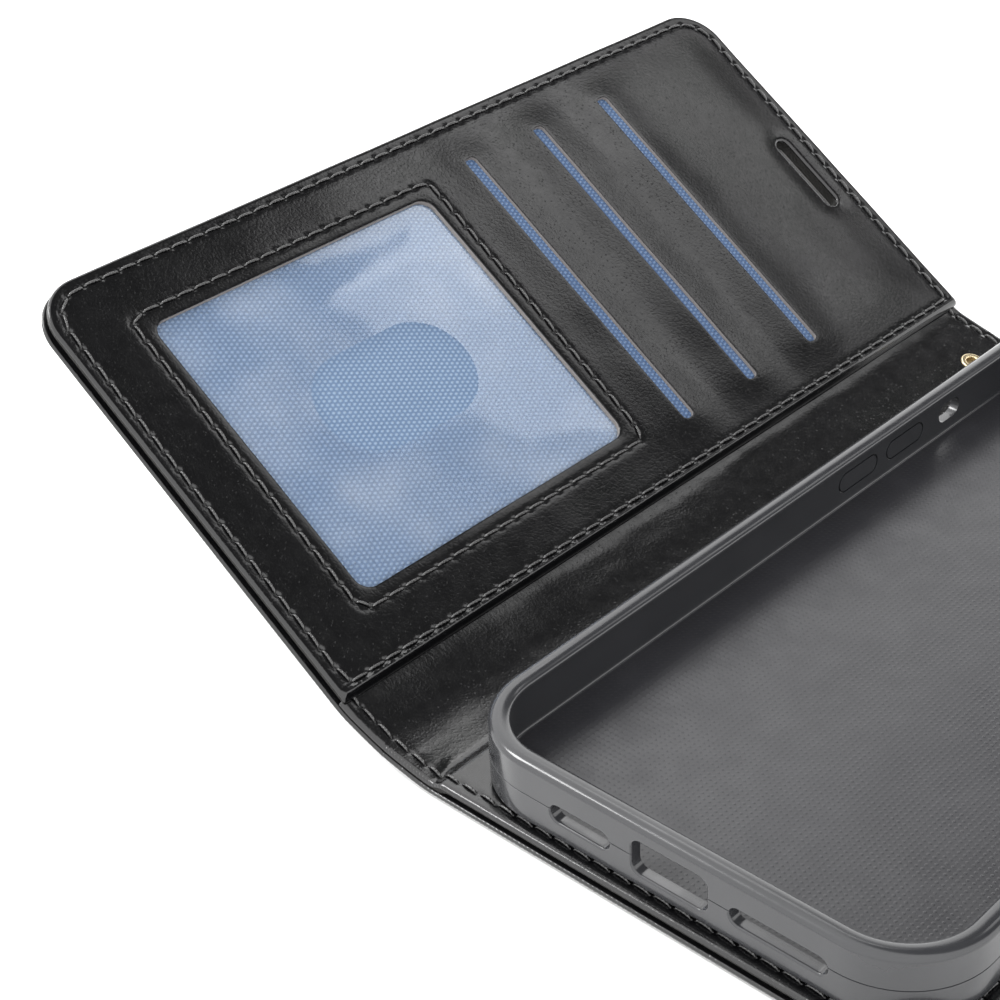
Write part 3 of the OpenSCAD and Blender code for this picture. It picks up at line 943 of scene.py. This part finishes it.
def outer_skin(name, shape, holes, nodes_replaced):
    band = whole_line.band((-0.9, -0.4, -0.15, 0.15, 0.4, 0.9))
    # The outer face is the finely divided one, so the panel is built with its faces exchanged
    piece = panel(name, shape, holes, on_case, skin_bottom, skin_top, [LEATHER_OUT, EDGE],
                  rings=(0.06, 0.2, 0.4, 1.0), bottom_rings=(0.06, 0.2, 0.4), step=1.6,
                  loop_step=0.8, bottom_step=1.6, bands=[band])
    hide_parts(*nodes_replaced)
    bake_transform(piece)
    return piece


outer_skin("outer_leather_front", front_skin, [ear_through],
           ["outer_skin_front", "outer_skin_spine"])
outer_skin("outer_leather_back", back_skin, [eyelet_hole, camera_hole], ["outer_skin_back"])

LINING_END = FRONT_S + 0.5
LINING_INSET = 0.3
whole_lining = Shape(BACK_S + LINING_INSET, LINING_END + 20, LINING_INSET, CASE_L - LINING_INSET,
                     CORNER_R, CORNER_R - LINING_INSET)
front_lining = Shape(SPINE_MID, LINING_END, LINING_INSET, CASE_L - LINING_INSET, 0.05, 0.02)
back_lining = Shape(BACK_S + LINING_INSET, SPINE_MID, LINING_INSET, CASE_L - LINING_INSET, 0.02,
                    CORNER_R - LINING_INSET)


def lining_top(s, b):
    """Soft lining that steps up from the spine on to the back cover's board."""
    edge = -whole_lining.distance(s, b)
    height = SPINE_T + (BACK_T - SPINE_T) * smooth((-s - 0.6) / 2.6)
    on_spine = smooth((s + 2) / 3)
    swell = 0.14 * wobble(s, b, 10.0, 2.6) + 0.03 * wobble(s * 2.2 + b * 0.6, b, 4.0, 6.2)
    height = height + on_spine * (0.06 + swell * smooth(edge / 5))
    height = height - rounding(edge, 0.6) + whole_line.relief(s, b, 0.07, 0.15)
    # a short pinch that runs in from the near edge towards the tray's corner
    run = (s + 2.2 - 0.35 * b) / 0.8
    return height - 0.26 * np.exp(-run ** 2) * smooth((7 - b) / 4) * smooth((b + 0.5) / 2)


def lining_bottom(s, b):
    """Rests on the back cover's board, with a rolled lip round its edge."""
    edge = -whole_lining.distance(s, b)
    inner = smooth((-s - 0.9) / 0.3) * smooth((edge - RIM_W) / 0.25)
    lip = 0.6 * (1 - smooth((edge - LIP_DEPTH) / 0.12)) * smooth((-s - 3) / 1.5)
    return 0.86 + 0.86 * inner + lip + rounding(edge, 0.3)


def lining(name, shape, holes, nodes_replaced):
    bands = [whole_line.band()]
    piece = panel(name, shape, holes, on_case, lining_top, lining_bottom,
                  [LEATHER_SPINE, GLUED, GLUED], rings=(0.06, 0.2, 0.45, 0.9), step=0.9,
                  bottom_rings=(0.1, 0.3, LIP_DEPTH, LIP_DEPTH + 0.14, RIM_W, RIM_W + 0.3),
                  loop_step=0.6, bottom_step=1.6, bands=bands)
    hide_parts(*nodes_replaced)
    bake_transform(piece)
    return piece


lining("inner_leather_front", front_lining, [], ["inner_lining_spine", "spine_interlining"])
lining("inner_leather_back", back_lining, [eyelet_hole, camera_hole], ["inner_lining_back"])


# ---- threads ----


def everywhere(a, b):
    return True


def facing_level(v, u):
    return facing_top(v, u) + 0.10


def lining_level(s, b):
    return lining_top(s, b) + 0.10


def skin_level(s, b):
    return skin_bottom(s, b) - 0.06


stitches("facing_edge_thread", [(facing_line, on_front, facing_level, 1, everywhere)], THREAD,
         "front_cover")
stitches("window_thread", [(window_line, on_front, facing_level, 1, everywhere)], THREAD,
         "front_cover")
front_threads = [
    (whole_line, on_case, lining_level, 1, lambda s, b: SPINE_MID < s < LINING_END),
    (whole_line, on_case, skin_level, -1, lambda s, b: s > SPINE_MID),
]
back_threads = [
    (whole_line, on_case, lining_level, 1, lambda s, b: s <= SPINE_MID),
    (whole_line, on_case, skin_level, -1, lambda s, b: s <= SPINE_MID),
]
stitches("front_leather_thread", front_threads, THREAD, OVER_B)
stitches("back_leather_thread", back_threads, THREAD, OVER_A)


# ---- the moulded tray ----

TRAY_LOW, TRAY_HIGH = [Vector(c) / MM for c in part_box("phone_shell")]
TRAY_R = 13.0
TRAY_WALL = 1.75
TRAY_FLOOR = 1.1
TRAY_H = TRAY_HIGH.z - TRAY_LOW.z
LIP_REACH = 3.0
LIP_T = 1.2
TRAY_X = (TRAY_LOW.x + TRAY_HIGH.x) / 2
PHONE_MID_Z = 7.75
RIM_CROWN = 1.45

# Openings in the tray's wall: places along it, heights above the floor, lengths and widths
PORT_W, PORT_Z, PORT_R = 11.8, (5.15, 10.45), 1.4
SOUND_Z, SOUND_H = 7.3, 2.6
MICROPHONE_X, MICROPHONE_L = TRAY_X - 14.5, 9.8
SPEAKER_X, SPEAKER_L = TRAY_X + 16.4, 14.2
VOLUME_Y, VOLUME_L = (29.35, 16.35), 10.6
MUTE_Y, MUTE_L, MUTE_W = 42.35, 6.0, 3.4
POWER_Y, POWER_L = 23.35, 16.6
BUTTON_W = 3.6
CUT_DEPTH = 2.6

tray_plan = Shape(TRAY_LOW.x, TRAY_HIGH.x, TRAY_LOW.y, TRAY_HIGH.y, TRAY_R)


def arc(centre_d, centre_h, radius_d, radius_h, start, stop, count):
    """Points of a quarter round in the wall's section: distance in, and height."""
    turn = np.radians(np.linspace(start, stop, count))
    return [(centre_d + radius_d * math.cos(t), centre_h + radius_h * math.sin(t)) for t in turn]


def wall_section():
    """The tray wall's section, from the floor's underside up the outside and down the inside."""
    part = PHONE_MID_Z - TRAY_LOW.z
    section = arc(0.9, 0.9, 0.9, 0.9, 270, 180, 6)
    section += [(0.0, part - 0.09), (0.13, part - 0.03), (0.13, part + 0.03), (0.0, part + 0.09)]
    section += arc(RIM_CROWN, TRAY_H - 1.0, RIM_CROWN, 1.0, 180, 90, 10)
    section += arc(LIP_REACH - RIM_CROWN, TRAY_H - 0.7, RIM_CROWN, 0.7, 90, 0, 10)
    section += arc(LIP_REACH - 0.3, TRAY_H - LIP_T + 0.3, 0.3, 0.3, 0, -90, 4)
    section += [(TRAY_WALL + 0.3, TRAY_H - LIP_T), (TRAY_WALL, TRAY_H - LIP_T - 0.3)]
    section += arc(TRAY_WALL + 0.5, TRAY_FLOOR + 0.5, 0.5, 0.5, 180, 270, 5)
    section += [(LIP_REACH, TRAY_FLOOR), (LIP_REACH, 0.0)]
    return section


def trumpet(shape, place, out, flare):
    """A cutter for a hole whose outer edge is rounded by flare."""
    levels = [(-1.0, flare)]
    for turn in np.radians(np.linspace(0, 90, 5)):
        levels.append((flare - flare * math.cos(turn), flare - flare * math.sin(turn)))
    levels.append((CUT_DEPTH, 0.0))
    sections = [place(shape.loop(grow + 1e-6, 0.22), out, depth) for depth, grow in levels]
    return tube(sections, False)


def near_wall(loop, out, depth):
    """Flat (x, z) points to a depth in from the near wall's outer face."""
    return np.column_stack([loop[:, 0], np.full(len(loop), out + depth), loop[:, 1]])


def side_wall(loop, out, depth):
    """Flat (y, z) points to a depth in from a side wall's outer face; out gives face and direction."""
    face, inward = out
    return np.column_stack([np.full(len(loop), face + inward * depth), loop[:, 0], loop[:, 1]])


def cutters():
    """Charging port, sound openings, mute opening, and the windows for the button pads."""
    port = Shape(TRAY_X - PORT_W / 2, TRAY_X + PORT_W / 2, *PORT_Z, PORT_R)
    microphone = oblong(MICROPHONE_X, SOUND_Z, MICROPHONE_L, SOUND_H)
    speaker = oblong(SPEAKER_X, SOUND_Z, SPEAKER_L, SOUND_H)
    made = [trumpet(s, near_wall, TRAY_LOW.y, 0.35) for s in (port, microphone, speaker)]
    left, right = (TRAY_LOW.x, 1), (TRAY_HIGH.x, -1)
    for y in VOLUME_Y:
        made.append(trumpet(oblong(y, PHONE_MID_Z, VOLUME_L, BUTTON_W), side_wall, left, 0.2))
    made.append(trumpet(oblong(MUTE_Y, PHONE_MID_Z, MUTE_L, MUTE_W), side_wall, left, 0.3))
    made.append(trumpet(oblong(POWER_Y, PHONE_MID_Z, POWER_L, BUTTON_W), side_wall, right, 0.2))
    return made


def cut(piece, parts):
    """Takes every cutter away from a piece's mesh."""
    for vertices, faces in parts:
        cutter = build("cutter", vertices, faces, [])
        modifier = piece.modifiers.new("cut", "BOOLEAN")
        modifier.operation = "DIFFERENCE"
        modifier.solver = "EXACT"
        modifier.object = cutter
        graph = bpy.context.evaluated_depsgraph_get()
        mesh = bpy.data.meshes.new_from_object(piece.evaluated_get(graph))
        piece.modifiers.clear()
        piece.data = mesh
        bpy.data.objects.remove(cutter)
    return piece


def tray():
    """Wall ring with its openings, joined to a floor with the camera opening."""
    section = wall_section()
    rings = []
    for inward, height in section:
        # Never quite 0, because loop() leaves out doubled points then, and all rings need one count
        loop = tray_plan.loop(-inward if inward else -1e-6, 1.1)
        rings.append(np.column_stack([loop, np.full(len(loop), TRAY_LOW.z + height)]))
    vertices, faces = tube(rings, True)
    ring = cut(build("phone_tray", vertices, faces, [PLASTIC]), cutters())
    inset = TRAY_WALL + 0.1
    floor_shape = Shape(TRAY_LOW.x + inset, TRAY_HIGH.x - inset, TRAY_LOW.y + inset,
                        TRAY_HIGH.y - inset, TRAY_R - inset)
    opening = Shape(camera_low.x, camera_high.x, camera_low.y, camera_high.y, 9.0)

    def top(x, y):
        rim = np.maximum(opening.distance(x, y), 0)
        return TRAY_LOW.z + TRAY_FLOOR + 0.04 - rounding(rim, 0.3)

    def level(x, y):
        return np.full(len(x), TRAY_LOW.z + 0.02)

    base = panel("tray_floor", floor_shape, [opening], lambda x, y, z: np.column_stack([x, y, z]),
                 top, level, [FLOOR_PLASTIC, PLASTIC], rings=(0.5,), hole_rings=(0.08, 0.2, 0.4),
                 step=6.0, loop_step=1.5, bottom_step=10.0)
    for piece in (ring, base):
        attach(piece, "back_cover")
        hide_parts("phone_shell")
    ring.data.shade_smooth()
    ring.data.set_sharp_from_angle(angle=math.radians(50))
    weighted = ring.modifiers.new("flat_faces_stay_flat", "WEIGHTED_NORMAL")
    weighted.keep_sharp = True
    weighted.weight = 100


tray()


def soften(name, width):
    """Rounds a CAD node's edges where it is shown."""
    modifier = nodes[name].modifiers.new("rounded_edges", "BEVEL")
    modifier.width = width * MM
    modifier.segments = 3
    modifier.limit_method = "ANGLE"
    modifier.angle_limit = math.radians(40)
    modifier.harden_normals = False


def dress(name, material):
    """Gives a CAD node a finished material."""
    nodes[name].data.materials.clear()
    nodes[name].data.materials.append(material)


for name in ("volume_up_pad", "volume_down_pad", "power_pad"):
    dress(name, PLASTIC)
    soften(name, 0.35)


# ---- eyelet ----


def lathe(name, section, s, b, material, node):
    """A turned ring standing on the spine: section gives radius and height."""
    centre = on_case(s, b, SPINE_T)[0]
    up = on_case(s, b, SPINE_T + 1)[0] - centre
    up = up / np.linalg.norm(up)
    side = np.cross(up, (0, 1, 0))
    side = side / np.linalg.norm(side)
    other = np.cross(up, side)
    turn = np.linspace(0, 2 * math.pi, 48, endpoint=False)
    rings = []
    for radius, height in section:
        rings.append(centre + up * (height - SPINE_T)
                     + radius * (np.outer(np.cos(turn), side) + np.outer(np.sin(turn), other)))
    vertices, faces = tube(rings, True)
    piece = build(name, vertices, faces, [material])
    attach(piece, "spine")
    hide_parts(node)
    return piece


BORE_R, BARREL_R, FLANGE_R, FLANGE_T = 1.2, 1.5, 2.2, 0.35
flange = arc(BORE_R + 0.35, SPINE_T + FLANGE_T - 0.35, 0.35, 0.35, 180, 90, 5)
flange += arc(FLANGE_R - 0.3, SPINE_T + 0.05, 0.3, 0.3, 90, 0, 5)
eyelet = [(BORE_R, -0.3)] + flange + [(FLANGE_R - 0.1, SPINE_T - 0.02), (BARREL_R, SPINE_T - 0.02)]
eyelet += [(BARREL_R, -0.3), (BARREL_R + 0.28, -0.4), (BARREL_R + 0.2, -0.54), (BORE_R + 0.1, -0.5)]
lathe("eyelet_ring", eyelet, EYELET_S, EYELET_B, GOLD, "lanyard_eyelet")
washer = [(BARREL_R, -0.03), (FLANGE_R - 0.05, -0.03), (FLANGE_R, -0.16), (FLANGE_R - 0.12, -0.32),
          (BARREL_R, -0.35)]
lathe("eyelet_back_washer", washer, EYELET_S, EYELET_B, GOLD, "eyelet_washer")


# ---- nodes that stay inside ----

dress("back_board", fibre("backing_board", (0.17, 0.12, 0.07), (0.33, 0.26, 0.17), 1.2))
dress("front_board", nodes["back_board"].data.materials[0])
dress("adhesive_pad", fibre("adhesive_foam", (0.52, 0.49, 0.40), (0.68, 0.65, 0.56), 0.5))
dress("note_pocket_lining", fibre("note_lining_cloth", (0.012, 0.013, 0.017), (0.03, 0.032, 0.04), 0.4))
dress("closure_magnets", NICKEL)


# ---- camera, light and floor ----


def camera():
    """Stands where the photograph was taken from."""
    target = Vector((-68.47, -31.38, 13.0)) * MM
    azimuth, elevation, roll = (math.radians(v) for v in (44.68, 32.31, 2.94))
    look = Vector((-math.sin(azimuth) * math.cos(elevation),
                   math.cos(azimuth) * math.cos(elevation), -math.sin(elevation)))
    level = Vector((math.cos(azimuth), math.sin(azimuth), 0))
    above = level.cross(look)
    right = level * math.cos(roll) - above * math.sin(roll)
    up = right.cross(look)
    data = bpy.data.cameras.new("camera")
    data.lens = 74.66
    data.sensor_width = 36.0
    data.clip_start = 0.01
    eye = bpy.data.objects.new("camera", data)
    turn = Matrix((right, up, -look)).transposed().to_4x4()
    eye.matrix_world = Matrix.Translation(target - look * 0.3171) @ turn
    bpy.context.scene.collection.objects.link(eye)
    bpy.context.scene.camera = eye


def softbox(name, direction, distance, width, height, power, shape="RECTANGLE"):
    """An area lamp that faces the case from a direction."""
    data = bpy.data.lights.new(name, "AREA")
    data.shape = shape
    data.size = width
    data.size_y = height
    data.energy = power
    lamp = bpy.data.objects.new(name, data)
    away = Vector(direction).normalized()
    lamp.location = Vector((-0.03, -0.02, 0)) + away * distance
    lamp.rotation_euler = away.to_track_quat("Z", "Y").to_euler()
    bpy.context.scene.collection.objects.link(lamp)


def world():
    """A white room with a dark opening high over the back of the case, which the gloss mirrors."""
    sky = bpy.data.worlds.new("studio")
    sky.use_nodes = True
    tree = sky.node_tree
    tree.nodes.clear()
    place = tree.nodes.new("ShaderNodeTexCoord")
    toward = tree.nodes.new("ShaderNodeVectorMath")
    toward.operation = "DOT_PRODUCT"
    toward.inputs[1].default_value = Vector((0.12, 0.62, 0.78)).normalized()
    ramp = tree.nodes.new("ShaderNodeValToRGB")
    back = tree.nodes.new("ShaderNodeBackground")
    output = tree.nodes.new("ShaderNodeOutputWorld")
    tree.links.new(place.outputs["Generated"], toward.inputs[0])
    tree.links.new(toward.outputs["Value"], ramp.inputs[0])
    tree.links.new(ramp.outputs[0], back.inputs["Color"])
    tree.links.new(back.outputs[0], output.inputs["Surface"])
    steps = [(0.0, 1.0), (0.82, 1.0), (0.845, 0.5), (0.87, 0.07), (1.0, 0.05)]
    for i, (closeness, level) in enumerate(steps):
        element = ramp.color_ramp.elements[i] if i < 2 else ramp.color_ramp.elements.new(closeness)
        element.position = closeness
        element.color = (level, level, level, 1)
    back.inputs["Strength"].default_value = 2.6
    bpy.context.scene.world = sky


def floor():
    """A wide pale ground, in metres, just under the case."""
    size, level = 3.0, -0.0006
    corners = [(-size, -size, level), (size, -size, level), (size, size, level), (-size, size, level)]
    mesh = bpy.data.meshes.new("floor")
    mesh.from_pydata(corners, [], [(0, 1, 2, 3)])
    mesh.materials.append(pale_floor())
    plane = bpy.data.objects.new("floor", mesh)
    bpy.context.scene.collection.objects.link(plane)


camera()
world()
floor()
# All but the key stand far off, so that each is mirrored by the same places wherever the case lies.
# The core is the brightest part of the back light's patch.
softbox("key_light", (-0.594, -0.344, 0.727), 0.9, 0.25, 0.25, 4)
softbox("back_light", (0.135, 0.675, 0.725), 3.0, 0.76, 0.84, 2.9, "ELLIPSE")
softbox("core_light", (0.075, 0.655, 0.752), 3.0, 0.42, 0.5, 0.45, "ELLIPSE")
softbox("side_light", (-0.42, 0.50, 0.757), 3.0, 0.6, 0.6, 3.2)
softbox("far_light", (0.24, 0.752, 0.614), 3.0, 0.34, 0.32, 0.5, "ELLIPSE")
bpy.context.scene.view_settings.view_transform = "Standard"

bpy.context.view_layer.update()
